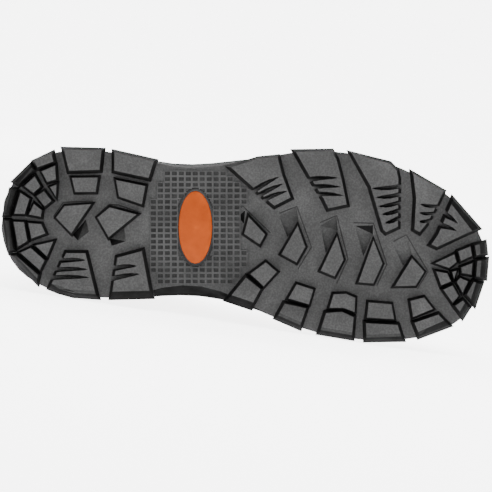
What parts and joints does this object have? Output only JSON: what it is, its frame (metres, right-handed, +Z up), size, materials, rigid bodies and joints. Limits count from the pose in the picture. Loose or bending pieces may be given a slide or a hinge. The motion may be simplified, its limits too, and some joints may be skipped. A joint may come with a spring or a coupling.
{
  "type": "metatarsal guard boot",
  "caption": "Right work boot with a lugged rubber sole, toe cap and metatarsal guard, lying on its medial side.",
  "frame": {"origin": "bottom centre of the bounding box of the boot as it lies on its medial side", "axes": "+X runs from heel to toe, -Y is the side that the tread faces, +Z is up and towards the lateral side of the boot"},
  "size_m": [0.3108, 0.2028, 0.1189],
  "materials": {
    "sole_rubber": "matte, dusty",
    "side_rubber": "matte",
    "badge": "matte",
    "leather": "oiled, semi-matte",
    "leather_dark": "semi-matte",
    "collar": "matte",
    "guard": "matte",
    "insole": "matte",
    "metal": "aged",
    "lace": "woven"
  },
  "bodies": {
    "root": {"outsole": "sole_rubber", "waist_badge": "badge", "midsole": "side_rubber", "welt": "side_rubber", "insole": "insole", "upper": "leather", "toe_cap": "leather_dark", "heel_counter": "leather_dark", "backstay": "leather_dark", "eyestay_lateral": "leather_dark", "eyestay_medial": "leather_dark", "collar": "collar", "tongue": "leather", "met_guard": "guard", "eyelet_lateral_1": "metal", "eyelet_lateral_2": "metal", "eyelet_lateral_3": "metal", "eyelet_lateral_4": "metal", "eyelet_medial_1": "metal", "eyelet_medial_2": "metal", "eyelet_medial_3": "metal", "eyelet_medial_4": "metal", "lace": "lace", "pull_loop": "collar"}
  },
  "joints": []
}
